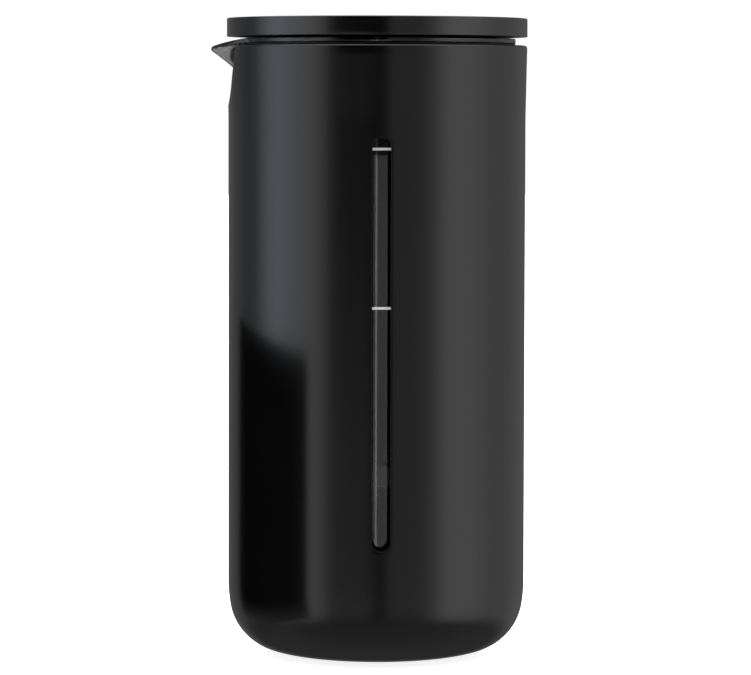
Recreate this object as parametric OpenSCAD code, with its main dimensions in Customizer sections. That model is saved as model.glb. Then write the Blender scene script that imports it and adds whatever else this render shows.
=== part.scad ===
// Compact French press: a glass beaker in a U-shaped casing, closed by a plug lid.
// The plunger's knob is a flat disc as wide as the casing.
// Millimetres. Z is up, the origin is the centre of the foot pad's underside,
// the level window faces -Y and the spout points along -X.

/* [Casing] */
// Height from the table to the top of the knob
total_h = 178; // [176:0.5:186]
// Outside radius of the casing below its flared lip
body_r = 41.45; // [40.8:0.05:42]
// How much wider the casing's lip is than its wall
lip_flare = 0.4; // [0.1:0.1:0.6]
// Casing wall thickness
wall = 2.9; // [2.4:0.1:3]
// Height of the foot pad below the casing
foot_h = 0.4; // [0.2:0.1:0.8]

/* [Window and notch] */
// Width of the level window
window_w = 5.1; // [4.6:0.1:7]
// Height of the window's lower end
window_z0 = 33; // [28:0.5:50]
// Height of the window's upper end
window_z1 = 145; // [130:0.5:148]
// Radius of the spout notch's round bottom
notch_r = 9.4; // [8:0.1:10]
// Tilt of the notch's sides from the vertical, in degrees
notch_tilt = 26; // [20:1:28]

/* [Beaker] */
// Inside radius of the glass
glass_r = 33; // [32.8:0.05:33.1]
// Thickness of the glass
glass_t = 2.2; // [1.8:0.1:2.2]
// Height of the full mark above the table
mark_full_z = 142; // [120:0.2:142]
// Height of the two-thirds mark above the table
mark_part_z = 98.8; // [80:0.2:110]
// How far the spout's tip reaches from the beaker's axis
spout_reach = 46.3; // [44:0.1:48]

/* [Plunger] */
// Radius of the knob
knob_r = 41.9; // [40:0.1:44]
// Thickness of the knob
knob_h = 5.15; // [5:0.05:6]
// Radius of the plunger rod
rod_r = 3; // [2.5:0.1:3.2]
// Height of the top edge of the filter when the plunger is down
filter_top = 55.6; // [50:0.2:60]

/* [Hidden] */
$fn = 96;
eps = 0.01;
gap = 0.05; // slack between pieces that are fitted together

// Tangent arcs of the casing's bottom edge: base, corner and side
base_arc = [38, 16];  // radius and sweep in degrees
corner_arc_r = 15.5;
side_arc = [40, 10];
flat_r = body_r - side_arc[0] + (side_arc[0] - corner_arc_r) * cos(side_arc[1])
         - (base_arc[0] - corner_arc_r) * sin(base_arc[1]);
side_z = base_arc[0] - (base_arc[0] - corner_arc_r) * cos(base_arc[1])
         + (side_arc[0] - corner_arc_r) * sin(side_arc[1]);

knob_z = total_h - knob_h;
glass_top = knob_z - 0.5;
shell_top = glass_top - 1.85;
lip_r = body_r + lip_flare;
lip_round = 0.8;
flare_h = 20;
inner_r = body_r - wall;
floor_z = foot_h + wall;
pad_r = flat_r - 1.4;
pad_t = 1.6;

// Locating ribs inside the casing
rib_t = 1.8;
rib_z0 = 24;
rib_z1 = 62;

// Rim seat: a ledge inside the casing carries the gasket under the beaker's rim
ledge_z = shell_top - 3.7;
ledge_t = 1.8;
ledge_r = 36;

// Beaker
glass_out = glass_r + glass_t;
cushion_t = 3;
cushion_r = flat_r - 0.4;
glass_z = floor_z + gap + cushion_t;
glass_floor = 2.6;
glass_corner = 15;
rim_t = 1.4;
rim_r = 38.6;
mouth_round = 2;
under_round = 2.4;
mark_h = 0.7;
mark_t = 0.15;
mark_half_deg = 8;

// Spout
tip_r = 1.1;
spout_half_w = 12;
notch_z = shell_top - 7;

// Lid
lid_top = glass_top - 0.2;
lid_split = glass_top - mouth_round;
skirt_r = 32.2;
skirt_t = 2;
skirt_z = 140.5;
deck_t = 1.8;
seal_z = skirt_z + 1.4;
seal_h = 3;
seal_depth = 1.2;
boss_r = 7;
boss_z = 160.2;
bush_r = 4.6;
bush_bore_r = rod_r + 0.06;
bush_z = 163.2;
bush_flange = [6.5, 0.8];  // radius and thickness
ring_r = 0.75;             // thickness radius of the rod's sealing ring
plate_t = 0.6;
slot_w = 2;
slot_step = 6.5;
slot_count = 9;
slot_z = [skirt_z + 5.8, lid_split - deck_t - 0.4];

// Knob
knob_round = 0.35;
knob_wall = 1.8;
insert_r = 4.6;
stud_r = 2.5;
bumper_mid_r = 24;

// Filter pack, from the cross plate up
cross_t = 0.8;
screen_t = 0.35;
spiral_t = 0.8;
screen_r = glass_r - 0.15;
screen_rim_h = 5.2;
screen_z = filter_top - screen_rim_h;
spiral_z = screen_z + screen_t;
spiral_r = 30.6;
spiral_rim_h = 4.2;
collar_z = spiral_z + spiral_t;
collar = [6.5, 2.5];  // radius and height
hub = [5.5, 5];       // radius and height
spring_r = 0.88;
cross_r = 29.6;

// A round ring or tube standing on z
module tube(r_out, r_in, z, h) {
    translate([0, 0, z]) difference() {
        cylinder(r = r_out, h = h);
        translate([0, 0, -1]) cylinder(r = r_in, h = h + 2);
    }
}

// A slice of a circle between two directions less than 90 degrees apart
module sector(centre, r, from, to) {
    far = 2 * r;
    intersection() {
        translate(centre) circle(r);
        polygon([centre,
                 centre + far * [cos(from), sin(from)],
                 centre + far * [cos(to), sin(to)]]);
    }
}

// Half section of the casing's solid outline, set in by t, up to the height top
module u_section(t, top) {
    base_c = [flat_r, base_arc[0]];
    base_dir = [sin(base_arc[1]), -cos(base_arc[1])];
    corner_c = base_c + (base_arc[0] - corner_arc_r) * base_dir;
    side_c = [body_r - side_arc[0], side_z];
    side_dir = [cos(side_arc[1]), -sin(side_arc[1])];
    polygon([[0, t], [flat_r, t],
             base_c + (base_arc[0] - t) * base_dir,
             side_c + (side_arc[0] - t) * side_dir,
             [body_r - t, side_z], [body_r - t, top], [0, top]]);
    sector(base_c, base_arc[0] - t, -90, base_arc[1] - 90);
    sector(corner_c, corner_arc_r - t, base_arc[1] - 90, -side_arc[1]);
    sector(side_c, side_arc[0] - t, -side_arc[1], 0);
}

// The casing's lip: a slight flare with a rounded outer edge
module lip_section() {
    edge_z = shell_top - lip_round;
    polygon([[inner_r, shell_top - flare_h], [body_r, shell_top - flare_h],
             [lip_r, edge_z], [lip_r - lip_round, shell_top], [inner_r, shell_top]]);
    translate([lip_r - lip_round, edge_z]) circle(lip_round);
}

// Level window: a slot with round ends and a chamfered outer edge
module window_cut() {
    half = window_w / 2;
    chamfer = 0.15;
    length = window_z1 - window_z0 - window_w;
    translate([0, 0, window_z0 + half]) rotate([90, 0, 0]) {
        translate([0, 0, inner_r - 2]) linear_extrude(wall + 4) {
            circle(half);
            translate([0, length]) circle(half);
            translate([-half, 0]) square([window_w, length]);
        }
        for (z = [0, length])
            translate([0, z, body_r - chamfer])
                cylinder(r1 = half, r2 = half + 2 * chamfer, h = 2 * chamfer);
        translate([0, length, body_r - chamfer]) rotate([90, 0, 0]) linear_extrude(length)
            polygon([[-half, 0], [half, 0], [half + 2 * chamfer, 2 * chamfer],
                     [-half - 2 * chamfer, 2 * chamfer]]);
    }
}

// Spout notch: slanting sides that meet a round bottom
module notch_cut(depth_to) {
    rise = shell_top + 3 - notch_z + notch_r * sin(notch_tilt);
    side = [notch_r * cos(notch_tilt), -notch_r * sin(notch_tilt)];
    top = side + [rise * tan(notch_tilt), rise];
    translate([-body_r - 3, 0, notch_z]) rotate([90, 0, 90])
        linear_extrude(body_r + 3 - depth_to) {
            circle(notch_r);
            polygon([side, top, [-top[0], top[1]], [-side[0], side[1]]]);
        }
}

module outer_shell() {
    color([0.05, 0.05, 0.055]) difference() {
        union() {
            rotate_extrude() difference() {
                union() {
                    translate([0, foot_h]) u_section(0, shell_top - flare_h - foot_h);
                    lip_section();
                }
                translate([0, foot_h]) u_section(wall, shell_top + 5);
                translate([-1, foot_h - 1]) square([pad_r + gap + 1, pad_t - foot_h + 1]);
            }
            tube(inner_r + 0.5, ledge_r, ledge_z - ledge_t, ledge_t);
            for (a = [45 : 90 : 315]) rotate(a)
                translate([glass_out + 0.15, -rib_t / 2, rib_z0])
                    cube([inner_r - glass_out + 0.35, rib_t, rib_z1 - rib_z0]);
        }
        window_cut();
        notch_cut(30);
    }
}

module foot_pad() {
    color([0.12, 0.12, 0.12]) difference() {
        cylinder(r = pad_r, h = pad_t - gap);
        for (r = [6, 10, 14]) tube(r + 0.5, r - 0.5, -1, 1.3);
    }
}

module beaker_cushion() {
    color([0.2, 0.2, 0.2]) difference() {
        tube(cushion_r, 6, floor_z + gap, cushion_t - gap);
        for (a = [0 : 45 : 315]) rotate(a)
            translate([9, -1, floor_z + cushion_t - 1]) cube([8, 2, 2]);
    }
}

// Half section of the beaker's solid outline, set in by t
module glass_section(t, top) {
    r = glass_corner - t;
    base = glass_z + (t > 0 ? glass_floor : 0);
    translate([glass_out - glass_corner, base + r]) circle(r);
    translate([0, base]) square([glass_out - glass_corner, r + 1]);
    translate([0, base + r]) square([glass_out - t, top - base - r]);
}

// The beaker's rolled rim: bead, flange and the fillet under it
module rim_section() {
    bead = rim_t / 2;
    under = glass_top - rim_t;
    translate([rim_r - bead, glass_top - bead]) circle(bead);
    translate([glass_r + 1, under]) square([rim_r - bead - glass_r - 1, rim_t]);
    difference() {
        translate([glass_out - 0.5, under - under_round])
            square([under_round + 0.5, under_round + 0.1]);
        translate([glass_out + under_round, under - under_round]) circle(under_round);
    }
}

// Inside of the beaker with its rounded mouth
module bore_section() {
    glass_section(glass_t, glass_top + 5);
    difference() {
        translate([0, lid_split]) square([glass_r + mouth_round, mouth_round + 1]);
        translate([glass_r + mouth_round, lid_split]) circle(mouth_round);
    }
}

module spout_outside() {
    hull() {
        translate([tip_r - spout_reach, 0, glass_top - 3.5]) sphere(tip_r, $fn = 28);
        for (s = [-1, 1])
            translate([-glass_r, s * spout_half_w, glass_top - tip_r]) sphere(tip_r, $fn = 28);
        for (s = [-1, 1])
            translate([-glass_r - 1, s * 4, glass_top - 11]) sphere(tip_r, $fn = 28);
    }
}

// The channel, open to the top
module spout_inside() {
    hull() {
        for (z = [glass_top - 1.6, glass_top + 3])
            translate([2.9 - spout_reach, 0, z]) sphere(0.8, $fn = 24);
        for (s = [-1, 1], z = [glass_top - 0.8, glass_top + 3])
            translate([3 - glass_r, s * (spout_half_w - 1.6), z]) sphere(0.8, $fn = 24);
        for (s = [-1, 1])
            translate([3 - glass_r, s * 3.4, glass_top - 10.2]) sphere(0.8, $fn = 24);
    }
}

module glass_beaker() {
    color([0.75, 0.85, 0.87, 0.4]) difference() {
        union() {
            rotate_extrude() {
                glass_section(0, glass_top - 1);
                rim_section();
            }
            spout_outside();
        }
        rotate_extrude() bore_section();
        spout_inside();
    }
}

// Two printed bars on the glass behind the window
module level_marks() {
    half_w = glass_out * sin(mark_half_deg);
    color([0.85, 0.85, 0.84]) for (z = [mark_part_z, mark_full_z]) intersection() {
        tube(glass_out + mark_t, glass_out, z - mark_h / 2, mark_h);
        translate([-half_w, -glass_out - 2, z - 1]) cube([2 * half_w, 6, 2]);
    }
}

module rim_gasket() {
    under = glass_top - rim_t - gap;
    mid_r = glass_out + under_round;
    mid_z = under - under_round;
    out_r = inner_r - gap;
    color([0.09, 0.09, 0.09]) difference() {
        rotate_extrude() {
            translate([glass_out + 0.2, ledge_z]) square([out_r - glass_out - 0.2, mid_z - ledge_z]);
            translate([mid_r, ledge_z]) square([out_r - mid_r, under - ledge_z]);
            intersection() {
                translate([mid_r, mid_z]) circle(under_round - gap);
                translate([glass_out, ledge_z]) square([out_r - glass_out, under - ledge_z]);
            }
        }
        translate([-body_r - 1, -15, ledge_z - 1]) cube([25, 30, 10]);
    }
}

// Silicone ring with two sealing lips
module lid_gasket() {
    lip = 0.5;
    base_r = skirt_r - seal_depth + gap;
    color([0.16, 0.16, 0.17]) rotate_extrude() {
        translate([base_r, seal_z + gap]) square([skirt_r + 0.1 - base_r, seal_h - 2 * gap]);
        for (z = [0.8, seal_h - 0.8])
            translate([glass_r - 0.1 - lip, seal_z + z]) circle(lip);
    }
}

module lid_body() {
    in_r = skirt_r - skirt_t;
    deck_z = lid_split - deck_t;
    color([0.06, 0.06, 0.065]) difference() {
        rotate_extrude() difference() {
            union() {
                translate([in_r, skirt_z]) square([skirt_t, lid_split - skirt_z]);
                translate([0, deck_z]) square([skirt_r - 1, deck_t]);
                translate([0, boss_z]) square([boss_r, deck_z - boss_z + 0.5]);
                translate([in_r - 1, skirt_z + plate_t]) square([1.5, 1]);
            }
            translate([skirt_r - seal_depth, seal_z]) square([seal_depth + 1, seal_h]);
            translate([-1, boss_z - 1]) square([rod_r + 0.5 + 1, 20]);
            translate([-1, boss_z + 0.8]) square([bush_r + gap + 1, 20]);
        }
        for (i = [0 : slot_count - 1])
            rotate(180 + (i - (slot_count - 1) / 2) * slot_step)
                translate([in_r - 2, -slot_w / 2, slot_z[0]])
                    cube([skirt_t + 4, slot_w, slot_z[1] - slot_z[0]]);
    }
}

module lid_cover() {
    cover_z = lid_split + gap;
    color([0.07, 0.07, 0.075]) rotate_extrude() difference() {
        translate([bush_r + gap, cover_z]) square([glass_r + 1 - bush_r, lid_top - cover_z]);
        translate([glass_r + mouth_round, lid_split]) circle(mouth_round + 0.1);
        translate([0, lid_top - bush_flange[1]]) square([bush_flange[0] + gap, 2]);
        translate([13, lid_top - 0.4]) square([4, 1]);
    }
}

// Flanged bush that guides the rod
module guide_bush() {
    color([0.8, 0.8, 0.78]) difference() {
        union() {
            translate([0, 0, bush_z]) cylinder(r = bush_r, h = lid_top - bush_z);
            translate([0, 0, lid_top - bush_flange[1] + gap])
                cylinder(r = bush_flange[0], h = bush_flange[1] - gap);
        }
        translate([0, 0, bush_z - 1]) cylinder(r = bush_bore_r, h = 20);
    }
}

// Perforated steel plate that closes the lid's underside
module splash_plate() {
    rows = [[11, 10], [18.5, 17], [25.5, 24]];  // row radius and number of holes
    color([0.72, 0.72, 0.72]) difference() {
        tube(skirt_r - skirt_t - gap, boss_r - 1, skirt_z, plate_t - gap);
        for (row = rows, i = [0 : row[1] - 1]) rotate(i * 360 / row[1])
            translate([row[0], 0, skirt_z - 1]) cylinder(r = 1.6, h = 3, $fn = 24);
    }
}

module rod_seal() {
    color([0.1, 0.1, 0.1]) rotate_extrude()
        translate([rod_r + gap + ring_r, boss_z + 0.8 + gap + ring_r]) circle(ring_r, $fn = 24);
}

module knob_cap() {
    color([0.055, 0.055, 0.06]) rotate_extrude() difference() {
        union() {
            translate([0, knob_z]) square([knob_r - knob_round, knob_h]);
            translate([0, knob_z]) square([knob_r, knob_h - knob_round]);
            translate([knob_r - knob_round, total_h - knob_round]) circle(knob_round);
        }
        translate([-1, knob_z - 1]) square([knob_r - knob_wall + 1, knob_h - knob_wall + 1]);
    }
}

module knob_base() {
    out_r = knob_r - knob_wall - gap;
    color([0.07, 0.07, 0.075]) rotate_extrude() difference() {
        union() {
            translate([0, knob_z]) square([out_r, 1.6]);
            translate([0, knob_z]) square([boss_r, knob_h - knob_wall - gap]);
            for (r = [bumper_mid_r, out_r - 1.4])
                translate([r - 1.4, knob_z]) square([2.8, knob_h - knob_wall - gap]);
        }
        translate([-1, knob_z - 1]) square([insert_r + gap + 1, 10]);
        translate([bumper_mid_r, knob_z]) circle(0.8);
    }
}

module rod_insert() {
    color([0.75, 0.6, 0.3]) tube(insert_r, stud_r + gap, knob_z, knob_h - knob_wall - 2 * gap);
}

// Silicone ring that lands on the lid when the plunger is down
module bumper_ring() {
    reach = knob_z - lid_top - gap;
    color([0.1, 0.1, 0.1]) rotate_extrude() translate([bumper_mid_r, knob_z]) {
        intersection() {
            circle(0.8 - gap);
            translate([-1, 0]) square([2, 1]);
        }
        translate([-0.5, -reach]) square([1, reach + 0.2]);
    }
}

module plunger_rod() {
    shoulder = collar_z + collar[1];
    color([0.75, 0.75, 0.76]) union() {
        translate([0, 0, shoulder]) cylinder(r = rod_r, h = knob_z - gap - shoulder);
        translate([0, 0, shoulder]) cylinder(r = stud_r, h = knob_z + knob_h - knob_wall - 0.3 - shoulder);
        translate([0, 0, screen_z - cross_t - hub[1] + 0.6])
            cylinder(r = stud_r, h = shoulder + 1 - screen_z + cross_t + hub[1] - 0.6);
    }
}

module stop_collar() {
    color([0.7, 0.7, 0.71]) tube(collar[0], stud_r + gap, collar_z, collar[1]);
}

// Stamped plate with an upturned rim that carries the coil spring
module spiral_plate() {
    rows = [[12, 8], [18.5, 12], [25, 16]];  // row radius and number of holes
    color([0.74, 0.74, 0.75]) difference() {
        union() {
            tube(spiral_r, stud_r + gap, spiral_z, spiral_t);
            tube(spiral_r, spiral_r - spiral_t, spiral_z, spiral_rim_h);
        }
        for (row = rows, i = [0 : row[1] - 1]) rotate(i * 360 / row[1])
            translate([row[0], 0, spiral_z - 1]) cylinder(r = 2, h = 3, $fn = 24);
    }
}

// The coil spring round the plate's rim, as the ring that its coils fill
module edge_spring() {
    color([0.7, 0.7, 0.7]) rotate_extrude()
        translate([spiral_r + gap + spring_r, filter_top - 2.6]) circle(spring_r, $fn = 32);
}

// Woven screen with its edge folded up outside the spring
module filter_screen() {
    color([0.66, 0.66, 0.66]) union() {
        tube(screen_r, stud_r + gap, screen_z, screen_t - eps);
        tube(screen_r, screen_r - screen_t, screen_z, screen_rim_h);
    }
}

// Four-armed plate whose threaded hub clamps the pack to the rod
module cross_plate() {
    plate_z = screen_z - cross_t;
    hub_z = plate_z - hub[1];
    color([0.72, 0.72, 0.73]) difference() {
        union() {
            translate([0, 0, plate_z]) cylinder(r = cross_r, h = cross_t - eps);
            translate([0, 0, hub_z]) cylinder(r = hub[0], h = hub[1] + 0.2);
        }
        translate([0, 0, hub_z + 0.5]) cylinder(r = stud_r + gap, h = 10);
        for (a = [0 : 90 : 270]) rotate(a + 45) intersection() {
            tube(cross_r - 3.2, 9.5, plate_z - 1, 3);
            rotate(45) translate([3.2, 3.2, plate_z - 2]) cube([40, 40, 5]);
        }
    }
}

outer_shell();
foot_pad();
beaker_cushion();
glass_beaker();
level_marks();
rim_gasket();
lid_gasket();
lid_body();
lid_cover();
guide_bush();
splash_plate();
rod_seal();
knob_cap();
knob_base();
rod_insert();
bumper_ring();
plunger_rod();
stop_collar();
spiral_plate();
edge_spring();
filter_screen();
cross_plate();
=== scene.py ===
"""Looks of the French press: fine meshes, materials, camera and studio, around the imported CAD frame.

Lengths are in metres and the frame is the CAD's: Z up, the level window at -Y, the spout at -X.
"""

import math

import bpy
import numpy as np
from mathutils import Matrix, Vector


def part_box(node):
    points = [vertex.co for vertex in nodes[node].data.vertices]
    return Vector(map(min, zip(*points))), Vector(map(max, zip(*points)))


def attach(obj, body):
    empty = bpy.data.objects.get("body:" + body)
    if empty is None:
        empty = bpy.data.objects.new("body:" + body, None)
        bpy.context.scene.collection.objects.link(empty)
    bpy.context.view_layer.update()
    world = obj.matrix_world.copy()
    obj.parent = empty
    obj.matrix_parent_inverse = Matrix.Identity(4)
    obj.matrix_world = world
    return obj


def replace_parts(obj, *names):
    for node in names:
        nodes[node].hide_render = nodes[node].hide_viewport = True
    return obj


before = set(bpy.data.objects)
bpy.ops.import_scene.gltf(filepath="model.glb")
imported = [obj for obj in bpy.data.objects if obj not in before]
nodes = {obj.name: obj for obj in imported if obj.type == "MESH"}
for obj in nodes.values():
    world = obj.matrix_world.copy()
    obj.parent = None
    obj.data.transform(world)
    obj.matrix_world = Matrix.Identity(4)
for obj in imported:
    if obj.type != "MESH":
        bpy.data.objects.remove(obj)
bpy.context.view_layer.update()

MM = 0.001

# ---------------------------------------------------------------- sizes taken from the CAD frame

SHELL_LOW, SHELL_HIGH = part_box("outer_shell")
GLASS_LOW, GLASS_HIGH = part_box("glass_beaker")
KNOB_LOW, KNOB_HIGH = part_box("knob_cap")
_, PAD_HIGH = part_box("foot_pad")
SPRING_LOW, SPRING_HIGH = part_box("edge_spring")
GASKET_LOW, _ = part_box("rim_gasket")

FOOT_Z = SHELL_LOW.z
SHELL_TOP = SHELL_HIGH.z
GLASS_TOP = GLASS_HIGH.z

# The casing's section, as in the CAD: three tangent arcs, then a straight wall with a flared lip
BODY_R = 41.45 * MM
WALL = 2.9 * MM
BASE_ARC = (38 * MM, math.radians(16))
CORNER_R = 15.5 * MM
SIDE_ARC = (40 * MM, math.radians(10))
LIP_FLARE = 0.4 * MM
LIP_ROUND = 0.8 * MM
FLARE_Z = SHELL_TOP - 20 * MM
PAD_RECESS = 1.2 * MM
LEDGE_R = 36 * MM
LEDGE_T = 1.8 * MM
LEDGE_GAP = math.asin(12.5 / 38)  # half the angle of the ledge's opening at the notch
LEDGE_ROUND = 0.3 * MM
RIB_SIZE = (3.3 * MM, 1.8 * MM, 38 * MM)
RIB_Z = 24 * MM

# The level window and the spout notch
WINDOW_HALF = 2.55 * MM
WINDOW_Z = (33 * MM, 145 * MM)
WINDOW_ROUND = 0.1 * MM
NOTCH_R = 9.4 * MM
NOTCH_TILT = math.radians(26)
NOTCH_Z = SHELL_TOP - 7 * MM
NOTCH_ROUND = 0.5 * MM
INNER_ROUND = 0.3 * MM

# The glass
GLASS_R = 33 * MM
GLASS_T = 2.2 * MM
GLASS_FLOOR = 2.6 * MM
GLASS_CORNER = 15 * MM
RIM_R = 38.6 * MM
RIM_T = 1.4 * MM
RIM_ROUND = 0.25 * MM
MOUTH_ROUND = 2 * MM
UNDER_ROUND = 2.4 * MM
SPOUT_HALF_ANGLE = math.radians(24)
SPOUT_TIP_R = 0.85 * MM
SPOUT_DROP = 2.95 * MM
SPOUT_LEAN = 40
SPOUT_BOW = 1.4

# The knob, whose rim stays just inside the CAD's
KNOB_WALL = 1.8 * MM
KNOB_INSET = 0.004 * MM

# ---------------------------------------------------------------- mesh tools


class Builder:
    """Collects the points and faces of one mesh."""

    def __init__(self):
        self.points = []
        self.faces = []

    def row(self, points):
        start = len(self.points)
        self.points.extend(tuple(p) for p in points)
        return list(range(start, len(self.points)))

    def bridge(self, low, high, closed=True):
        """Quads between two rows of equal length; counter-clockwise rows, low to high, face outwards."""
        count = len(low)
        for i in range(count if closed else count - 1):
            j = (i + 1) % count
            self.faces.append((low[i], low[j], high[j], high[i]))

    def cap(self, row, point, flip=False):
        centre = self.row([point])[0]
        for i in range(len(row)):
            a, b = row[i], row[(i + 1) % len(row)]
            self.faces.append((b, a, centre) if flip else (a, b, centre))

    def make(self, name, material, body):
        mesh = bpy.data.meshes.new(name)
        mesh.from_pydata(self.points, [], self.faces)
        mesh.validate()
        mesh.shade_smooth()
        mesh.materials.append(material)
        piece = bpy.data.objects.new(name, mesh)
        bpy.context.scene.collection.objects.link(piece)
        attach(piece, body)
        return piece


def ring(radius, z, angles):
    return [(radius * math.cos(a), radius * math.sin(a), z) for a in angles]


def full_turn(count):
    return [2 * math.pi * i / count for i in range(count)]


def arc(centre, radius, start, end, count):
    """Points (r, z) along an arc, angles in degrees."""
    angles = np.radians(np.linspace(start, end, count))
    return [(centre[0] + radius * math.cos(a), centre[1] + radius * math.sin(a)) for a in angles]


def spaced(points, count):
    """The same path as points, with count points evenly spaced along it."""
    path = np.array(points)
    along = np.concatenate([[0], np.cumsum(np.hypot(*np.diff(path, axis=0).T))])
    even = np.linspace(0, along[-1], count)
    return list(zip(np.interp(even, along, path[:, 0]), np.interp(even, along, path[:, 1])))


def revolve(name, profile, material, body, segments=192):
    """A closed profile of (r, z) points, listed counter-clockwise, turned about Z into one closed mesh."""
    build = Builder()
    angles = full_turn(segments)
    on_axis = [i for i, p in enumerate(profile) if p[0] < 1e-9]
    rows = [None if i in on_axis else build.row(ring(r, z, angles)) for i, (r, z) in enumerate(profile)]
    count = len(profile)
    for i in range(count):
        low, high = rows[i], rows[(i + 1) % count]
        if low and high:
            build.bridge(low, high)
        elif low:
            build.cap(low, (0, 0, profile[(i + 1) % count][1]))
        elif high:
            build.cap(high, (0, 0, profile[i][1]), flip=True)
    return build.make(name, material, body)


def smoothstep(t):
    t = min(1.0, max(0.0, t))
    return t * t * (3 - 2 * t)


# ---------------------------------------------------------------- material tools


def new_material(name):
    material = bpy.data.materials.new(name)
    material.use_nodes = True
    tree = material.node_tree
    shader = tree.nodes["Principled BSDF"]
    return material, tree, shader


def add_node(tree, kind, **values):
    node = tree.nodes.new(kind)
    for key, value in values.items():
        if key in node.inputs:
            node.inputs[key].default_value = value
        else:
            setattr(node, key, value)
    return node


def maths(tree, operation, *values):
    node = add_node(tree, "ShaderNodeMath", operation=operation)
    for socket, value in zip(node.inputs, values):
        if isinstance(value, (int, float)):
            socket.default_value = value
        else:
            tree.links.new(value, socket)
    return node.outputs[0]


def coordinates(tree, stretch=(1, 1, 1)):
    """Object coordinates in metres, stretched."""
    source = add_node(tree, "ShaderNodeTexCoord")
    mapping = add_node(tree, "ShaderNodeMapping")
    mapping.inputs["Scale"].default_value = stretch
    tree.links.new(source.outputs["Object"], mapping.inputs["Vector"])
    return mapping.outputs["Vector"]


def noise(tree, vector, scale, detail=2.0, roughness=0.5):
    node = add_node(tree, "ShaderNodeTexNoise")
    node.inputs["Scale"].default_value = scale
    node.inputs["Detail"].default_value = detail
    node.inputs["Roughness"].default_value = roughness
    tree.links.new(vector, node.inputs["Vector"])
    return node.outputs["Fac"]


def spread(tree, value, low, high):
    """Maps a 0..1 value onto low..high."""
    node = add_node(tree, "ShaderNodeMapRange")
    node.inputs["To Min"].default_value = low
    node.inputs["To Max"].default_value = high
    tree.links.new(value, node.inputs["Value"])
    return node.outputs["Result"]


def tint(tree, value, dark, light):
    """Maps a 0..1 value onto two colours."""
    node = add_node(tree, "ShaderNodeValToRGB")
    node.color_ramp.elements[0].position = 0.3
    node.color_ramp.elements[1].position = 0.7
    node.color_ramp.elements[0].color = (*dark, 1)
    node.color_ramp.elements[1].color = (*light, 1)
    tree.links.new(value, node.inputs["Fac"])
    return node.outputs["Color"]


def rounded(tree, radius):
    """A normal that rounds sharp edges."""
    node = add_node(tree, "ShaderNodeBevel", samples=6)
    node.inputs["Radius"].default_value = radius
    return node.outputs["Normal"]


def bump(tree, shader, height, distance, strength=1.0, edge=None):
    node = add_node(tree, "ShaderNodeBump")
    node.inputs["Distance"].default_value = distance
    node.inputs["Strength"].default_value = strength
    tree.links.new(height, node.inputs["Height"])
    if edge:
        tree.links.new(rounded(tree, edge), node.inputs["Normal"])
    tree.links.new(node.outputs["Normal"], shader.inputs["Normal"])


def moulded_plastic(name, dark, light, roughness, grain=9000.0, edge=None, ior=1.46):
    """Satin moulded plastic: fine spark-eroded grain, faint cloudy variation in colour and gloss."""
    material, tree, shader = new_material(name)
    vector = coordinates(tree)
    cloud = noise(tree, vector, 60.0, 3.0)
    tree.links.new(tint(tree, cloud, dark, light), shader.inputs["Base Color"])
    gloss = spread(tree, noise(tree, vector, 140.0, 4.0), roughness - 0.02, roughness + 0.02)
    tree.links.new(gloss, shader.inputs["Roughness"])
    shader.inputs["IOR"].default_value = ior
    bump(tree, shader, noise(tree, vector, grain, 2.0), 0.006 * MM, 0.35, edge)
    return material


def silicone(name):
    material, tree, shader = new_material(name)
    vector = coordinates(tree)
    cloud = noise(tree, vector, 90.0, 3.0)
    tree.links.new(tint(tree, cloud, (0.003, 0.003, 0.0033), (0.006, 0.006, 0.0064)), shader.inputs["Base Color"])
    tree.links.new(spread(tree, noise(tree, vector, 400.0), 0.5, 0.65), shader.inputs["Roughness"])
    shader.inputs["IOR"].default_value = 1.41
    bump(tree, shader, noise(tree, vector, 5000.0), 0.01 * MM, 0.4, 0.2 * MM)
    return material


def clear_glass(name):
    """Borosilicate glass: polished, slightly wavy, with a faint cloudy grey tint."""
    material, tree, shader = new_material(name)
    vector = coordinates(tree)
    cloud = noise(tree, vector, 70.0, 4.0)
    tree.links.new(tint(tree, cloud, (0.93, 0.95, 0.95), (0.97, 0.98, 0.98)), shader.inputs["Base Color"])
    shader.inputs["Roughness"].default_value = 0.0
    shader.inputs["Transmission Weight"].default_value = 1.0
    shader.inputs["IOR"].default_value = 1.473
    bump(tree, shader, noise(tree, coordinates(tree, (1, 1, 0.3)), 45.0, 1.0), 0.004 * MM, 0.2)
    return material


def enamel(name):
    """The level marks' fired white print, slightly speckled."""
    material, tree, shader = new_material(name)
    vector = coordinates(tree)
    speckle = noise(tree, vector, 3500.0, 3.0)
    tree.links.new(tint(tree, speckle, (0.67, 0.67, 0.66), (0.74, 0.74, 0.73)), shader.inputs["Base Color"])
    tree.links.new(spread(tree, speckle, 0.35, 0.5), shader.inputs["Roughness"])
    bump(tree, shader, speckle, 0.01 * MM, 0.4)
    return material


def brushed_metal(name, dark, light, stretch, roughness, edge=0.15 * MM):
    """Metal with fine drawn or turned marks along the unstretched axis."""
    material, tree, shader = new_material(name)
    marks = noise(tree, coordinates(tree, stretch), 2500.0, 4.0, 0.6)
    cloud = noise(tree, coordinates(tree), 80.0, 3.0)
    tree.links.new(tint(tree, cloud, dark, light), shader.inputs["Base Color"])
    tree.links.new(spread(tree, marks, roughness - 0.06, roughness + 0.08), shader.inputs["Roughness"])
    shader.inputs["Metallic"].default_value = 1.0
    bump(tree, shader, marks, 0.008 * MM, 0.35, edge)
    return material


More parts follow.
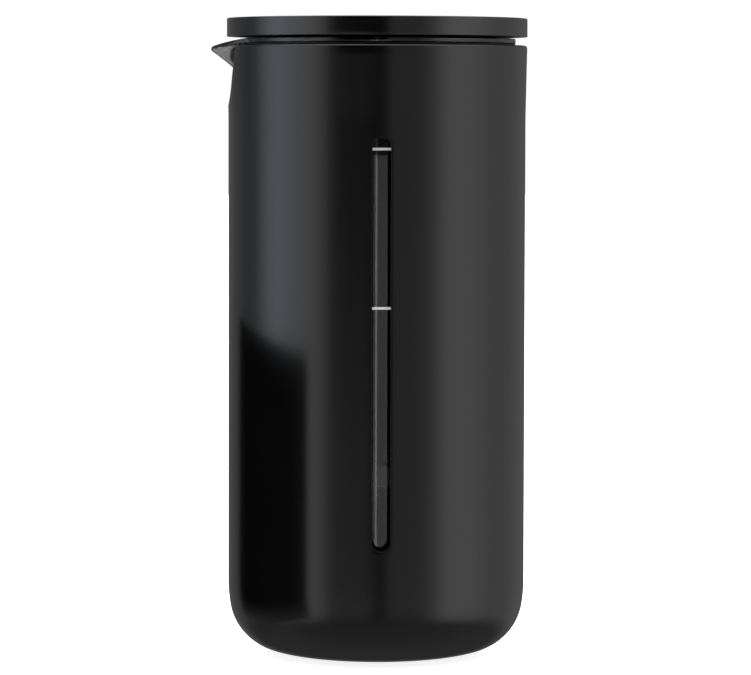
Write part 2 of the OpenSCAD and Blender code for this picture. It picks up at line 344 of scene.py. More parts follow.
def woven_screen(name, pitch=0.32 * MM):
    """Fine plain-woven wire: two crossed waves for the wires, with painted shade in the holes between them."""
    material, tree, shader = new_material(name)
    source = add_node(tree, "ShaderNodeTexCoord")
    split = add_node(tree, "ShaderNodeSeparateXYZ")
    tree.links.new(source.outputs["Object"], split.inputs["Vector"])
    waves = []
    for axis in ("X", "Y"):
        phase = maths(tree, "MULTIPLY", split.outputs[axis], math.pi / pitch)
        waves.append(maths(tree, "ABSOLUTE", maths(tree, "SINE", phase)))
    over = maths(tree, "MAXIMUM", *waves)
    # Painted shade: the holes between the wires are coloured near-black for what is seen through them; the wires
    # get the lighter tone
    tree.links.new(tint(tree, over, (0.02, 0.02, 0.02), (0.3, 0.3, 0.3)), shader.inputs["Base Color"])
    tree.links.new(spread(tree, over, 0.6, 0.28), shader.inputs["Roughness"])
    shader.inputs["Metallic"].default_value = 1.0
    bump(tree, shader, over, 0.08 * MM, 0.8)
    return material


CASING = moulded_plastic("casing_plastic", (0.0005, 0.0005, 0.0006), (0.0009, 0.0009, 0.0010), 0.2)
KNOB = moulded_plastic("knob_plastic", (0.0005, 0.0005, 0.0006), (0.0009, 0.0009, 0.0010), 0.17, 12000.0, ior=1.5)
LID = moulded_plastic("lid_plastic", (0.0012, 0.0012, 0.0013), (0.0018, 0.0018, 0.0020), 0.32, 9000.0, 0.25 * MM)
BUSH = moulded_plastic("bush_plastic", (0.66, 0.66, 0.63), (0.74, 0.74, 0.71), 0.4, 7000.0, 0.2 * MM)
SILICONE = silicone("black_silicone")
GLASS = clear_glass("beaker_glass")
ENAMEL = enamel("mark_enamel")
STAMPED = brushed_metal("stamped_steel", (0.55, 0.55, 0.56), (0.64, 0.64, 0.65), (1, 12, 1), 0.26)
DRAWN = brushed_metal("drawn_steel", (0.62, 0.62, 0.63), (0.7, 0.7, 0.71), (6, 6, 0.2), 0.5)
WIRE = brushed_metal("spring_wire", (0.55, 0.55, 0.56), (0.66, 0.66, 0.67), (1, 1, 1), 0.22, None)
BRASS = brushed_metal("turned_brass", (0.62, 0.42, 0.17), (0.74, 0.53, 0.24), (1, 1, 14), 0.25)
SCREEN = woven_screen("woven_steel")

NODE_MATERIALS = {
    "foot_pad": SILICONE,
    "beaker_cushion": SILICONE,
    "rim_gasket": SILICONE,
    "lid_gasket": SILICONE,
    "rod_seal": SILICONE,
    "bumper_ring": SILICONE,
    "level_marks": ENAMEL,
    "outer_shell": CASING,
    "glass_beaker": GLASS,
    "lid_body": LID,
    "lid_cover": LID,
    "guide_bush": BUSH,
    "splash_plate": STAMPED,
    "knob_cap": KNOB,
    "knob_base": LID,
    "rod_insert": BRASS,
    "plunger_rod": DRAWN,
    "stop_collar": DRAWN,
    "spiral_plate": STAMPED,
    "edge_spring": WIRE,
    "filter_screen": SCREEN,
    "cross_plate": STAMPED,
}


def dress_nodes():
    """Gives every CAD node its material."""
    for name, material in NODE_MATERIALS.items():
        slots = nodes[name].data.materials
        slots.clear()
        slots.append(material)


# ---------------------------------------------------------------- casing

COLUMNS = 288
WINDOW_COLUMNS = 9
NOTCH_COLUMNS = 18
WINDOW_COLUMN = COLUMNS * 3 // 4
NOTCH_COLUMN = COLUMNS // 2


def casing_radius(z):
    """Outside radius of the casing's wall at height z."""
    flare = (z - FLARE_Z) / (SHELL_TOP - LIP_ROUND - FLARE_Z)
    return BODY_R + LIP_FLARE * min(1.0, max(0.0, flare))


def casing_bottom(inset):
    """Points (r, z) of the casing's rounded bottom, set in by inset, from the flat base to the wall."""
    (base_r, base_turn), (side_r, side_turn) = BASE_ARC, SIDE_ARC
    flat = BODY_R - side_r + (side_r - CORNER_R) * math.cos(side_turn) - (base_r - CORNER_R) * math.sin(base_turn)
    side_z = base_r - (base_r - CORNER_R) * math.cos(base_turn) + (side_r - CORNER_R) * math.sin(side_turn)
    base_c = (flat, FOOT_Z + base_r)
    corner_c = (base_c[0] + (base_r - CORNER_R) * math.sin(base_turn),
                base_c[1] - (base_r - CORNER_R) * math.cos(base_turn))
    side_c = (BODY_R - side_r, FOOT_Z + side_z)
    low, high = math.degrees(base_turn) - 90, -math.degrees(side_turn)
    points = arc(base_c, base_r - inset, -90, low, 7)
    points += arc(corner_c, CORNER_R - inset, low, high, 15)[1:]
    points += arc(side_c, side_r - inset, high, 0, 5)[1:]
    return points


def notch_outline():
    """The casing's top edge across the notch, as (u, z) points evenly spaced along it; u is the arc length."""
    side = (NOTCH_R * math.cos(NOTCH_TILT), NOTCH_Z - NOTCH_R * math.sin(NOTCH_TILT))
    corner = 1.6 * MM
    lean = math.degrees(NOTCH_TILT)
    reach = corner * math.tan((math.pi / 2 - NOTCH_TILT) / 2)
    top_u = side[0] + (SHELL_TOP - side[1]) * math.tan(NOTCH_TILT)
    half = arc((0, NOTCH_Z), NOTCH_R, -90, -lean, 40)
    half += arc((top_u + reach, SHELL_TOP - corner), corner, 180 - lean, 90, 16)
    half.append((math.radians(360 * NOTCH_COLUMNS / COLUMNS) * BODY_R, SHELL_TOP))
    return np.array(spaced([(-u, z) for u, z in reversed(half[1:])] + half, 2 * NOTCH_COLUMNS + 1))


def casing_edge():
    """The casing's top edge all the way round: (u, z), inward direction and edge radius for each column."""
    u = np.array([2 * math.pi * i / COLUMNS * BODY_R for i in range(COLUMNS)])
    z = np.full(COLUMNS, SHELL_TOP)
    cut = notch_outline()
    middle = u[NOTCH_COLUMN]
    span = slice(NOTCH_COLUMN - NOTCH_COLUMNS, NOTCH_COLUMN + NOTCH_COLUMNS + 1)
    u[span] = middle + cut[:, 0]
    z[span] = cut[:, 1]
    turn = 2 * math.pi * BODY_R
    du = (np.roll(u, -1) - np.roll(u, 1)) % turn
    dz = np.roll(z, -1) - np.roll(z, 1)
    length = np.hypot(du, dz)
    inward = np.column_stack([dz / length, -du / length])
    depth = np.array([smoothstep((SHELL_TOP - h) / (2.5 * MM)) for h in z])
    radius = LIP_ROUND + (NOTCH_ROUND - LIP_ROUND) * depth
    return np.column_stack([u, z]), inward, radius


def on_casing(u, z, depth):
    angle = u / BODY_R
    radius = casing_radius(z) - depth
    return (radius * math.cos(angle), radius * math.sin(angle), z)


def window_end(z):
    """Centre height of the window's round end nearest to z, or z itself beside the straight sides."""
    return min(max(z, WINDOW_Z[0] + WINDOW_HALF), WINDOW_Z[1] - WINDOW_HALF)


def window_point(x, z, radius):
    return (x, -math.sqrt(radius * radius - x * x), z)


def window_rows():
    """Heights of the casing's wall rows, closer together at the window's ends."""
    low, high = WINDOW_Z[0] + WINDOW_HALF, WINDOW_Z[1] - WINDOW_HALF
    ends = [low - s * MM for s in (10, 6.5, 4, 1.8)]
    tops = [high + s * MM for s in (1.8, 4, 6.5)]
    return ends + list(np.linspace(low, high, 20)) + tops


def casing_wall(build, depth, rows, boundary_offset):
    """One face of the wall around the window. Returns its top row and the loop round the window's edge."""
    angles = full_turn(COLUMNS)
    radius = BODY_R - depth
    inside = range(WINDOW_COLUMN - WINDOW_COLUMNS + 1, WINDOW_COLUMN + WINDOW_COLUMNS)
    grid = []
    for i, z in enumerate(rows):
        full = i in (0, len(rows) - 1)
        columns = [j for j in range(COLUMNS) if full or j not in inside]
        made = build.row([(radius * math.cos(angles[j]), radius * math.sin(angles[j]), z) for j in columns])
        grid.append(dict(zip(columns, made)))
    for low, high in zip(grid, grid[1:]):
        for j in range(COLUMNS):
            k = (j + 1) % COLUMNS
            if not WINDOW_COLUMN - WINDOW_COLUMNS <= j < WINDOW_COLUMN + WINDOW_COLUMNS:
                build.faces.append((low[j], low[k], high[k], high[j]))
    left, right = WINDOW_COLUMN - WINDOW_COLUMNS, WINDOW_COLUMN + WINDOW_COLUMNS
    frame_loop = [grid[0][j] for j in range(left, right)]
    frame_loop += [row[right] for row in grid[:-1]]
    frame_loop += [grid[-1][j] for j in range(right, left, -1)]
    frame_loop += [row[left] for row in reversed(grid[1:])]
    loops = [frame_loop]
    for share in (0.3, 0.6, 0.85, 1.0):
        points = []
        for index in frame_loop:
            x, _, z = build.points[index]
            end = window_end(z)
            away = Vector((x, z - end)).normalized() * (WINDOW_HALF + boundary_offset)
            points.append(window_point(x + (away.x - x) * share, z + (end + away.y - z) * share, radius))
        loops.append(build.row(points))
    for outer, inner in zip(loops, loops[1:]):
        build.bridge(outer, inner)
    return [grid[-1][j] for j in range(COLUMNS)], [grid[0][j] for j in range(COLUMNS)], loops[-1]


def window_edge(build, outer_loop, inner_loop, wall):
    """The window's rounded outer edge and its straight sides through the wall."""
    previous = outer_loop
    steps = [(WINDOW_ROUND * (1 - math.sin(a)), WINDOW_ROUND * (1 - math.cos(a)))
             for a in np.radians([18, 36, 54, 72, 90])]
    steps += [(0, wall * 0.5), (0, wall - INNER_ROUND)]
    for offset, depth in steps:
        points = []
        for index in outer_loop:
            x, _, z = build.points[index]
            end = window_end(z)
            away = Vector((x, z - end)).normalized() * (WINDOW_HALF + offset)
            points.append(window_point(away.x, end + away.y, BODY_R - depth))
        row = build.row(points)
        build.bridge(previous, row)
        previous = row
    build.bridge(previous, inner_loop)


def casing_top(build, start_row, edge, depth, offset):
    """From the wall's top row up to the casing's edge, set back from it by offset."""
    (line, inward, _), steps = edge, 9
    previous = start_row
    row_z = build.points[start_row[0]][2]
    for step in range(1, steps + 1):
        share = step / steps
        points = []
        for j in range(COLUMNS):
            low_u = 2 * math.pi * j / COLUMNS * BODY_R
            high_u, high_z = line[j] + inward[j] * offset[j]
            u = low_u + (high_u - low_u) * share
            points.append(on_casing(u, row_z + (high_z - row_z) * share, depth))
        row = build.row(points)
        build.bridge(previous, row)
        previous = row
    return previous


def casing_rim(build, outer_row, inner_row, edge):
    """The rounded lip and notch edge that joins the casing's outside to its inside."""
    line, inward, radius = edge
    previous = outer_row
    steps = [(radius * (1 - math.sin(a)), radius * (1 - math.cos(a))) for a in np.radians([18, 36, 54, 72, 90])]
    steps.append((np.zeros(COLUMNS), np.full(COLUMNS, WALL - INNER_ROUND)))
    for offset, depth in steps:
        points = []
        for j in range(COLUMNS):
            u, z = line[j] + inward[j] * offset[j]
            points.append(on_casing(u, z, depth[j]))
        row = build.row(points)
        build.bridge(previous, row)
        previous = row
    build.bridge(previous, inner_row)


def casing_base(build, points):
    """A closed bottom through the (r, z) points. Returns its top row."""
    angles = full_turn(COLUMNS)
    previous = None
    for r, z in points:
        row = build.row(ring(r, z, angles))
        if previous:
            build.bridge(previous, row)
        else:
            build.cap(row, (0, 0, z), flip=True)
        previous = row
    return previous


def casing_shell():
    """The U-shaped casing with its window, notch and foot recess, as one closed mesh."""
    build = Builder()
    rows = window_rows()
    edge = casing_edge()

    out_top, out_low, out_loop = casing_wall(build, 0, rows, WINDOW_ROUND)
    recess = PAD_HIGH.x + 0.05 * MM
    bottom = [(recess, FOOT_Z + PAD_RECESS), (recess, FOOT_Z + 0.3 * MM), (recess + 0.3 * MM, FOOT_Z)]
    bottom += casing_bottom(0)
    build.bridge(casing_base(build, bottom), out_low)
    out_rim = casing_top(build, out_top, edge, 0, edge[2])

    flip_from = len(build.faces)
    in_top, in_low, in_loop = casing_wall(build, WALL, rows, INNER_ROUND)
    build.bridge(casing_base(build, casing_bottom(WALL)), in_low)
    in_rim = casing_top(build, in_top, edge, WALL, np.full(COLUMNS, INNER_ROUND))
    build.faces[flip_from:] = [face[::-1] for face in build.faces[flip_from:]]

    window_edge(build, out_loop, in_loop, WALL)
    casing_rim(build, out_rim, in_rim, edge)
    piece = build.make("casing", CASING, "vessel")
    return piece


def casing_ledge():
    """The ledge inside the casing's mouth that carries the rim gasket, open at the notch."""
    top = GASKET_LOW.z
    outer = BODY_R - WALL + 0.3 * MM
    angles = np.linspace(math.pi + LEDGE_GAP, 3 * math.pi - LEDGE_GAP, 181)
    low, edge = top - LEDGE_T, LEDGE_ROUND
    section = [(outer, low), (outer, top), (LEDGE_R + edge, top), (LEDGE_R, top - edge),
               (LEDGE_R, low + edge), (LEDGE_R + edge, low)]
    build = Builder()
    rows = [build.row(ring(r, z, angles)) for r, z in section]
    for a, b in zip(rows, rows[1:] + rows[:1]):
        build.bridge(a, b, closed=False)
    build.faces.append(tuple(row[0] for row in reversed(rows)))
    build.faces.append(tuple(row[-1] for row in rows))
    piece = build.make("casing_ledge", CASING, "vessel")
    return piece


def casing_rib(index):
    """One locating rib between the casing and the glass, with rounded ends and face."""
    depth, width, height = RIB_SIZE
    build = Builder()
    angle = math.radians(45 + 90 * index)
    inner = BODY_R - WALL + 0.2 * MM - depth
    outline = [(0, -0.5), (0.18, -0.5)] + [(1 - 0.12 * (1 - math.cos(t)), 0.5 * math.sin(t))
                                          for t in np.radians(np.linspace(-90, 90, 9))] + [(0.18, 0.5), (0, 0.5)]
    rows = []
    for share, grow in ((0.0, 0.5), (0.03, 0.85), (0.07, 1.0), (0.93, 1.0), (0.97, 0.85), (1.0, 0.5)):
        z = RIB_Z + height * share
        points = []
        for out, across in outline:
            r = inner + depth * (1 - out * grow)
            t = width * across * grow
            points.append((r * math.cos(angle) - t * math.sin(angle), r * math.sin(angle) + t * math.cos(angle), z))
        rows.append(build.row(points))
    for a, b in zip(rows, rows[1:]):
        build.bridge(b, a)
    build.faces.append(tuple(rows[0]))
    build.faces.append(tuple(reversed(rows[-1])))
    piece = build.make(f"casing_rib_{index + 1}", CASING, "vessel")
    return piece


# ---------------------------------------------------------------- glass


def bezier(points, count):
    """Points along a cubic Bezier curve."""
    a, b, c, d = (np.array(p) for p in points)
    t = np.linspace(0, 1, count)[:, None]
    curve = (1 - t) ** 3 * a + 3 * (1 - t) ** 2 * t * b + 3 * (1 - t) * t * t * c + t ** 3 * d
    return [tuple(p) for p in curve]


def rim_sections():
    """The glass above the blend height, away from the spout and at its middle, with matching (r, z) points."""
    low = GLASS_TOP - 16 * MM
    under = GLASS_TOP - RIM_T
    out = GLASS_R + GLASS_T
    face = RIM_R - RIM_ROUND
    mouth = (GLASS_R + MOUTH_ROUND, GLASS_TOP - MOUTH_ROUND)
    inner = [(GLASS_R, low), (GLASS_R, mouth[1])] + arc(mouth, MOUTH_ROUND, 180, 90, 10)[1:] + [(face, GLASS_TOP)]
    edge = arc((face, GLASS_TOP - RIM_ROUND), RIM_ROUND, 90, 0, 5)[1:]
    edge += arc((face, under + RIM_ROUND), RIM_ROUND, 0, -90, 5)[:-1]
    outer = [(face, under)] + arc((out + UNDER_ROUND, under - UNDER_ROUND), UNDER_ROUND, 90, 180, 10) + [(out, low)]
    plain = spaced(inner, 30) + edge + spaced(outer, 30)

    lean = math.radians(SPOUT_LEAN)
    tip = (-GLASS_LOW.x - SPOUT_TIP_R - 0.02 * MM, GLASS_TOP - SPOUT_DROP)
    across = (SPOUT_TIP_R * math.sin(lean), SPOUT_TIP_R * math.cos(lean))
    upper = (tip[0] - across[0], tip[1] + across[1])
    lower = (tip[0] + across[0], tip[1] - across[1])
    inner = bezier([(GLASS_R, low), (GLASS_R + 0.4 * MM, low + 6.85 * MM),
                    (GLASS_R + 5.5 * MM, low + 7.45 * MM), upper], 60)
    outer = bezier([lower, (out + 6.4 * MM, low + 9.35 * MM), (out + 0.8 * MM, low + 4.65 * MM),
                    (out, low + 1.65 * MM)], 60) + [(out, low)]
    edge = arc(tip, SPOUT_TIP_R, 90 + SPOUT_LEAN, SPOUT_LEAN - 90, 10)[1:-1]
    spout = spaced(inner, 30) + edge + spaced(outer, 30)
    return np.array(plain), np.array(spout)


def spout_share(angle):
    """How much of the spout's section the glass has at this angle from the spout: 1 at its middle, 0 outside."""
    x = abs(angle) / SPOUT_HALF_ANGLE
    soft = 0.16
    ridge = 1 - (math.hypot(x, soft) - soft) / (math.hypot(1, soft) - soft)
    if x >= 1:
        return 0.0
    return ridge * smoothstep(ridge / 0.35)


def glass_angles():
    """Column directions, closer together at the spout."""
    near = np.linspace(-SPOUT_HALF_ANGLE * 1.15, SPOUT_HALF_ANGLE * 1.15, 81)
    far = np.linspace(near[-1], 2 * math.pi + near[0], 361)[1:-1]
    return [float(a) for a in np.concatenate([near, far])]


def glass_shell():
    """The beaker: rounded bottom, straight wall, rolled rim and drawn-out spout, as one closed mesh."""
    plain, spout = rim_sections()
    out = GLASS_R + GLASS_T
    floor = GLASS_LOW.z + GLASS_FLOOR
    inner_r = GLASS_CORNER - GLASS_T
    centre_r = out - GLASS_CORNER
    heights = list(np.linspace(GLASS_LOW.z + 20 * MM, plain[0][1], 14))[:-1]
    inner = [(centre_r * 0.5, floor)] + arc((centre_r, floor + inner_r), inner_r, -90, 0, 16)
    inner += [(GLASS_R, z) for z in heights]
    outer = [(out, z) for z in reversed(heights)]
    outer += arc((centre_r, GLASS_LOW.z + GLASS_CORNER), GLASS_CORNER, 0, -90, 16) + [(centre_r * 0.5, GLASS_LOW.z)]
    angles = glass_angles()
    build = Builder()
    rows = [build.row([(-r * math.cos(a), -r * math.sin(a), z) for a in angles]) for r, z in inner]
    shares = [spout_share(a) for a in angles]
    for low, high in zip(plain, spout):
        points = []
        for a, share in zip(angles, shares):
            r = low[0] + (high[0] - low[0]) * share
            z = low[1] + (high[1] - low[1]) * share ** SPOUT_BOW
            points.append((-r * math.cos(a), -r * math.sin(a), z))
        rows.append(build.row(points))
    rows += [build.row([(-r * math.cos(a), -r * math.sin(a), z) for a in angles]) for r, z in outer]
    for a, b in zip(rows, rows[1:]):
        build.bridge(b, a)
    build.cap(rows[0], (0, 0, floor))
    build.cap(rows[-1], (0, 0, GLASS_LOW.z), flip=True)
    piece = build.make("beaker", GLASS, "vessel")
    return piece


# ---------------------------------------------------------------- knob and filter


def knob_disc():
    """The disc knob's cap: a thin-walled cup with a crisp lower edge and a slightly softer upper one."""
    r, low, high = KNOB_HIGH.x - KNOB_INSET, KNOB_LOW.z, KNOB_HIGH.z
    wall = KNOB_WALL
    inner = r - wall
    low_round, high_round, inner_round = 0.15 * MM, 0.35 * MM, 0.3 * MM
    profile = [(0, high - wall), (inner * 0.5, high - wall), (inner - inner_round, high - wall),
               (inner, high - wall - inner_round), (inner, low + low_round), (inner + low_round, low),
               (r - 2 * low_round, low)]
    profile += arc((r - low_round, low + low_round), low_round, -90, 0, 5)
    profile += [(r, low + 1 * MM), (r, high - 1 * MM)]
    profile += arc((r - high_round, high - high_round), high_round, 0, 90, 7)
    profile += [(r - 1 * MM, high), (r * 0.5, high), (0, high)]
    piece = revolve("knob_disc", profile, KNOB, "plunger", 256)
    return piece


def coil_spring():
    """The filter's edge spring: fine wire wound in a helix round the plate's rim."""
    middle_r = (SPRING_HIGH.x + (SPRING_HIGH.x - (SPRING_HIGH.z - SPRING_LOW.z))) / 2
    coil_r = (SPRING_HIGH.z - SPRING_LOW.z) / 2
    wire = 0.2 * MM
    turns, per_turn, sides = 170, 14, 6
    z = (SPRING_LOW.z + SPRING_HIGH.z) / 2
    count = turns * per_turn
    build = Builder()
    rows = []

    def centre(i):
        around = 2 * math.pi * i / count
        coil = 2 * math.pi * i / per_turn
        r = middle_r + (coil_r - wire) * math.cos(coil)
        return Vector((r * math.cos(around), r * math.sin(around), z + (coil_r - wire) * math.sin(coil)))

    for i in range(count):
        here = centre(i)
        along = (centre(i + 1) - centre(i - 1)).normalized()
        radial = Vector((math.cos(2 * math.pi * i / count), math.sin(2 * math.pi * i / count), 0))
        coil = 2 * math.pi * i / per_turn
        outward = radial * math.cos(coil) + Vector((0, 0, 1)) * math.sin(coil)
        outward = (outward - along * outward.dot(along)).normalized()
        across = along.cross(outward)
        rows.append(build.row([here + wire * (outward * math.cos(t) + across * math.sin(t))
                               for t in full_turn(sides)]))
    for a, b in zip(rows, rows[1:] + rows[:1]):
        build.bridge(a, b)
    piece = build.make("coil_spring", WIRE, "plunger")
    return piece


# ---------------------------------------------------------------- camera, lights and floor

CAMERA_DISTANCE = 1.17
CAMERA_HEIGHT = 0.154
CAMERA_TURN = math.radians(-1.85)
CAMERA_PITCH = math.radians(-3.184)
CAMERA_YAW = math.radians(0.021)
CAMERA_ROLL = math.radians(-0.13)
LENS = 200.6

# Heights are the z of a direction on the unit sphere: -1 straight down, 0 level, 1 straight up

# Brightness of the studio around the object: degrees from the camera's side towards the spout, strength
STUDIO_RING = [
    (-180, 0.15), (-164, 0.15), (-124, 0.5), (-101, 0.8), (-83, 1.35), (-60, 1.7), (-52, 1.35), (-44, 0.75),
    (-33, 0.4), (-13, 0.42), (-9.8, 0.48), (-8.2, 0.01), (24, 0.01),
    (30, 0.05), (36, 0.3), (43, 1.1), (55, 1.5), (72, 1.8), (80, 2.0), (88, 1.8), (97, 1.15), (107, 0.4),
    (118, 0.27), (131, 0.25), (150, 0.2), (180, 0.15),
]
STUDIO_HEIGHTS = (-0.45, 0.62)
COOL_BOX = (55, 125)  # degrees between which the light is slightly blue
COOL_TINT = (0.91, 0.98, 1.08)
# The pale ground in front, which fades in from the horizon down to GROUND_LOW
GROUND_RING = [
    (-180, 0), (-44, 0), (-33, 0.1), (-12, 0.1), (0, 0.2), (8, 0.5), (28, 0.5), (42, 0), (180, 0),
]
GROUND_LOW = -0.12
OVERHEAD = 2.4  # strength of the light from above OVERHEAD_LOW
OVERHEAD_LOW = 0.65
BELOW = (0.05, 0.33)  # strength of the dim light from below BELOW_TOP, behind the object and in front of it
BELOW_TOP = -0.5
# What only the clear glass mirrors: the ground's bright strip up to its far edge, and a narrow upright lamp
HORIZON = -0.0122
GLASS_GROUND = (6, 12, 0.72)  # degrees from the camera's side towards the spout and away from it, strength
GLASS_LAMP = (-0.6, 1.1, 0.6, 1.3)  # degrees towards the spout, strength above the horizon and added below it
THROUGH_GLASS = (0.05, 0.22)  # strength seen through the glass, forwards and behind

FLOOR_Z = -0.02 * MM
FLOOR_HALF = 6
FLOOR_GLOW = 0.85
# The black card beside the casing: its distance, front and back ends, lower edge and slanting upper edge
CARD_X = -0.075
CARD_Y = (-0.073, 0.021)
CARD_LOW = -0.015
CARD_TOP = (0.082, 0.093)
CARD_GLOW = (0.006, -0.008, 0.2)  # heights where the glow starts and is full, strength
MARK_LIGHT_PLACE = (-0.02, -0.6, 0.32)
MARK_LIGHT_AIM = (0, -0.035, 0.12)
MARK_LIGHT_SIZE = (0.12, 0.5)
MARK_LIGHT_POWER = 0.77


def add_camera():
    data = bpy.data.cameras.new("camera")
    data.lens = LENS
    data.sensor_width = 36
    data.clip_start = 0.05
    data.clip_end = 50
    camera = bpy.data.objects.new("camera", data)
    side, back = math.sin(CAMERA_TURN), math.cos(CAMERA_TURN)
    camera.location = (CAMERA_DISTANCE * side, -CAMERA_DISTANCE * back, CAMERA_HEIGHT)
    camera.rotation_euler = (math.pi / 2 + CAMERA_PITCH, CAMERA_ROLL, CAMERA_TURN + CAMERA_YAW)
    bpy.context.scene.collection.objects.link(camera)
    bpy.context.scene.camera = camera


def add_floor():
    build = Builder()
    corners = [(-1, -1), (1, -1), (1, 1), (-1, 1)]
    build.faces.append(tuple(build.row([(x * FLOOR_HALF, y * FLOOR_HALF, FLOOR_Z) for x, y in corners])))
    mesh = bpy.data.meshes.new("floor")
    mesh.from_pydata(build.points, [], build.faces)
    floor = bpy.data.objects.new("floor", mesh)
    material, tree, shader = new_material("pale_floor")
    shade = noise(tree, coordinates(tree), 3.0, 3.0)
    tree.links.new(tint(tree, shade, (0.9, 0.9, 0.9), (0.93, 0.93, 0.93)), shader.inputs["Base Color"])
    tree.links.new(spread(tree, shade, 0.75, 0.85), shader.inputs["Roughness"])
    shader.inputs["Emission Color"].default_value = (1, 1, 1, 1)
    shader.inputs["Emission Strength"].default_value = FLOOR_GLOW
    mesh.materials.append(material)
    floor.visible_glossy = False
    floor.visible_transmission = False
    bpy.context.scene.collection.objects.link(floor)


def add_flag():
    """A black card low beside the casing, seen only in its gloss. It glows faintly towards its lower edge."""
    build = Builder()
    front, back = CARD_Y
    edge = [(front, CARD_LOW), (back, CARD_LOW), (back, CARD_TOP[1]), (front, CARD_TOP[0])]
    build.faces.append(tuple(build.row([(CARD_X, y, z) for y, z in edge])))
    mesh = bpy.data.meshes.new("black_card")
    mesh.from_pydata(build.points, [], build.faces)
    card = bpy.data.objects.new("black_card", mesh)
    material, tree, shader = new_material("black_card")
    shade = noise(tree, coordinates(tree), 30.0)
    tree.links.new(tint(tree, shade, (0.002, 0.002, 0.002), (0.004, 0.004, 0.004)), shader.inputs["Base Color"])
    shader.inputs["Roughness"].default_value = 1.0
    shader.inputs["Specular IOR Level"].default_value = 0.0
    place = add_node(tree, "ShaderNodeSeparateXYZ")
    tree.links.new(coordinates(tree), place.inputs["Vector"])
    fade = add_node(tree, "ShaderNodeMapRange")
    for socket, value in zip(("From Min", "From Max", "To Max"), CARD_GLOW):
        fade.inputs[socket].default_value = value
    tree.links.new(place.outputs["Z"], fade.inputs["Value"])
    tree.links.new(tint(tree, shade, (0.95, 0.95, 0.95), (1, 1, 1)), shader.inputs["Emission Color"])
    tree.links.new(fade.outputs["Result"], shader.inputs["Emission Strength"])
    mesh.materials.append(material)
    for kind in ("camera", "diffuse", "transmission", "volume_scatter", "shadow"):
        setattr(card, f"visible_{kind}", False)
    bpy.context.scene.collection.objects.link(card)


def soft_band(tree, value, low, high, edge):
    """1 while value is between low and high, with soft edges."""
    steps = []
    for start, end in ((low - edge, low + edge), (high + edge, high - edge)):
        node = add_node(tree, "ShaderNodeMapRange", interpolation_type="SMOOTHSTEP")
        node.inputs["From Min"].default_value = min(start, end)
        node.inputs["From Max"].default_value = max(start, end)
        node.inputs["To Min"].default_value = 0 if start < end else 1
        node.inputs["To Max"].default_value = 1 if start < end else 0
        tree.links.new(value, node.inputs["Value"])
        steps.append(node.outputs["Result"])
    return maths(tree, "MULTIPLY", *steps)


def painted_round(tree, around, stops):
    """Brightness painted by direction: stops are (degrees from the camera's side towards the spout, strength)."""
    ramp = add_node(tree, "ShaderNodeValToRGB")
    peak = max(strength for _, strength in stops)
    for turned, _ in stops[1:-1]:
        ramp.color_ramp.elements.new(0.5 - turned / 360)
    for element, (turned, strength) in zip(ramp.color_ramp.elements, sorted(stops, reverse=True)):
        cool = COOL_BOX[0] < turned < COOL_BOX[1]
        element.position = 0.5 - turned / 360
        element.color = (*(strength / peak * c for c in (COOL_TINT if cool else (1, 1, 1))), 1)
    tree.links.new(around, ramp.inputs["Fac"])
    return ramp.outputs["Color"], peak


def scaled(tree, colour, strength):
    node = add_node(tree, "ShaderNodeVectorMath", operation="SCALE")
    tree.links.new(colour, node.inputs["Vector"])
    tree.links.new(strength, node.inputs["Scale"])
    return node.outputs["Vector"]


def summed(tree, first, second):
    node = add_node(tree, "ShaderNodeVectorMath", operation="ADD")
    tree.links.new(first, node.inputs[0])
    tree.links.new(second, node.inputs[1])
    return node.outputs["Vector"]


def seen_in_glass(tree, split):
    """Light that only a polished surface mirrors, so that the satin plastic round the window stays dark."""
    height = split.outputs["Z"]
    under = soft_band(tree, height, -2.0, HORIZON, 0.0003)
    front = soft_band(tree, split.outputs["X"], 0.3, 2.0, 0.05)
    toward, away, strength = GLASS_GROUND
    patch = soft_band(tree, split.outputs["Y"], -math.sin(math.radians(toward)), math.sin(math.radians(away)), 0.01)
    patch = maths(tree, "MULTIPLY", maths(tree, "MULTIPLY", patch, under), strength)
    start, end, above_it, added = GLASS_LAMP
    lamp = soft_band(tree, split.outputs["Y"], -math.sin(math.radians(end)), -math.sin(math.radians(start)), 0.001)
    level = soft_band(tree, height, -0.3, 0.3, 0.1)
    strength = spread(tree, under, above_it, above_it + added)
    lamp = maths(tree, "MULTIPLY", maths(tree, "MULTIPLY", lamp, level), strength)
    light = maths(tree, "MULTIPLY", maths(tree, "ADD", patch, lamp), front)
    path = add_node(tree, "ShaderNodeLightPath")
    return maths(tree, "MULTIPLY", light, path.outputs["Is Singular Ray"])


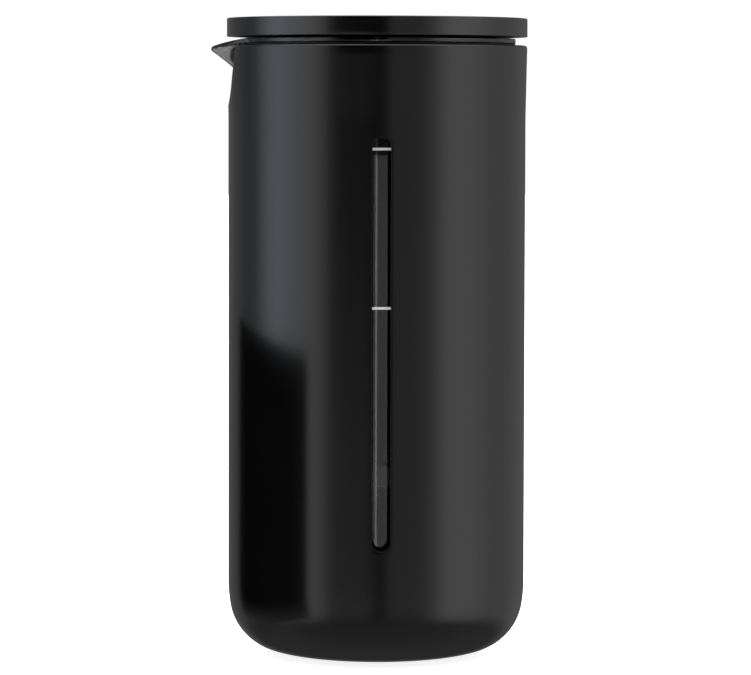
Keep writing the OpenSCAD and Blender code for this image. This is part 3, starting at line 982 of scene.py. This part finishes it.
def add_world():
    """White behind the object; round it, a dark studio with soft boxes that light it and show in its gloss."""
    world = bpy.data.worlds.new("studio")
    world.use_nodes = True
    bpy.context.scene.world = world
    tree = world.node_tree
    source = add_node(tree, "ShaderNodeTexCoord")
    turn = add_node(tree, "ShaderNodeMapping")
    turn.inputs["Rotation"].default_value = (0, 0, math.radians(90) - CAMERA_TURN)
    tree.links.new(source.outputs["Generated"], turn.inputs["Vector"])
    split = add_node(tree, "ShaderNodeSeparateXYZ")
    tree.links.new(turn.outputs["Vector"], split.inputs["Vector"])
    around = add_node(tree, "ShaderNodeTexGradient", gradient_type="RADIAL")
    tree.links.new(turn.outputs["Vector"], around.inputs["Vector"])
    height = split.outputs["Z"]

    boxes, peak = painted_round(tree, around.outputs["Fac"], STUDIO_RING)
    boxes = scaled(tree, boxes, maths(tree, "MULTIPLY", soft_band(tree, height, *STUDIO_HEIGHTS, 0.15), peak))
    ground, peak = painted_round(tree, around.outputs["Fac"], GROUND_RING)
    fade = add_node(tree, "ShaderNodeMapRange")
    fade.inputs["From Min"].default_value = 0
    fade.inputs["From Max"].default_value = GROUND_LOW
    fade.inputs["To Max"].default_value = peak
    tree.links.new(height, fade.inputs["Value"])
    steep = soft_band(tree, height, STUDIO_HEIGHTS[0], 2.0, 0.15)
    ground = scaled(tree, ground, maths(tree, "MULTIPLY", fade.outputs["Result"], steep))
    overhead = maths(tree, "MULTIPLY", soft_band(tree, height, OVERHEAD_LOW, 2.0, 0.1), OVERHEAD)
    reach = add_node(tree, "ShaderNodeMapRange")
    reach.inputs["From Min"].default_value, reach.inputs["From Max"].default_value = -0.9, -0.1
    reach.inputs["To Min"].default_value, reach.inputs["To Max"].default_value = BELOW
    tree.links.new(split.outputs["X"], reach.inputs["Value"])
    below = maths(tree, "MULTIPLY", soft_band(tree, height, -2.0, BELOW_TOP, 0.15), reach.outputs["Result"])
    plain = maths(tree, "ADD", maths(tree, "ADD", overhead, below), seen_in_glass(tree, split))
    total = summed(tree, summed(tree, boxes, ground), plain)

    lighting = tree.nodes["Background"]
    tree.links.new(total, lighting.inputs["Color"])
    path = add_node(tree, "ShaderNodeLightPath")
    shown = add_node(tree, "ShaderNodeBackground")
    shown.inputs["Color"].default_value = (1, 1, 1, 1)
    behind = soft_band(tree, split.outputs["X"], -2.0, -0.3, 0.2)
    glimpse = spread(tree, behind, *THROUGH_GLASS)
    tree.links.new(maths(tree, "MAXIMUM", glimpse, path.outputs["Is Camera Ray"]), shown.inputs["Strength"])
    direct = maths(tree, "MAXIMUM", path.outputs["Is Camera Ray"], path.outputs["Is Transmission Ray"])
    mix = add_node(tree, "ShaderNodeMixShader")
    tree.links.new(direct, mix.inputs["Fac"])
    tree.links.new(lighting.outputs["Background"], mix.inputs[1])
    tree.links.new(shown.outputs["Background"], mix.inputs[2])
    tree.links.new(mix.outputs["Shader"], tree.nodes["World Output"].inputs["Surface"])


def add_mark_light():
    """A soft light for the level marks alone, which sit deep in the window."""
    data = bpy.data.lights.new("mark_light", "AREA")
    data.shape = "RECTANGLE"
    data.size, data.size_y = MARK_LIGHT_SIZE
    data.energy = MARK_LIGHT_POWER
    light = bpy.data.objects.new("mark_light", data)
    light.location = MARK_LIGHT_PLACE
    aim = Vector(MARK_LIGHT_AIM) - Vector(MARK_LIGHT_PLACE)
    light.rotation_euler = aim.to_track_quat("-Z", "Y").to_euler()
    light.visible_camera = False
    bpy.context.scene.collection.objects.link(light)
    lit = bpy.data.collections.new("level_marks_only")
    lit.objects.link(nodes["level_marks"])
    light.light_linking.receiver_collection = lit


def add_studio():
    add_camera()
    add_world()
    add_floor()
    add_flag()
    add_mark_light()
    scene = bpy.context.scene
    scene.view_settings.view_transform = "Standard"
    scene.view_settings.look = "None"


# ---------------------------------------------------------------- the whole


def main():
    dress_nodes()
    shell = casing_shell()
    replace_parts(shell, "outer_shell")
    for piece in [casing_ledge()] + [casing_rib(i) for i in range(4)]:
        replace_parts(piece, "outer_shell")
    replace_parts(glass_shell(), "glass_beaker")
    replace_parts(knob_disc(), "knob_cap")
    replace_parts(coil_spring(), "edge_spring")
    add_studio()


main()
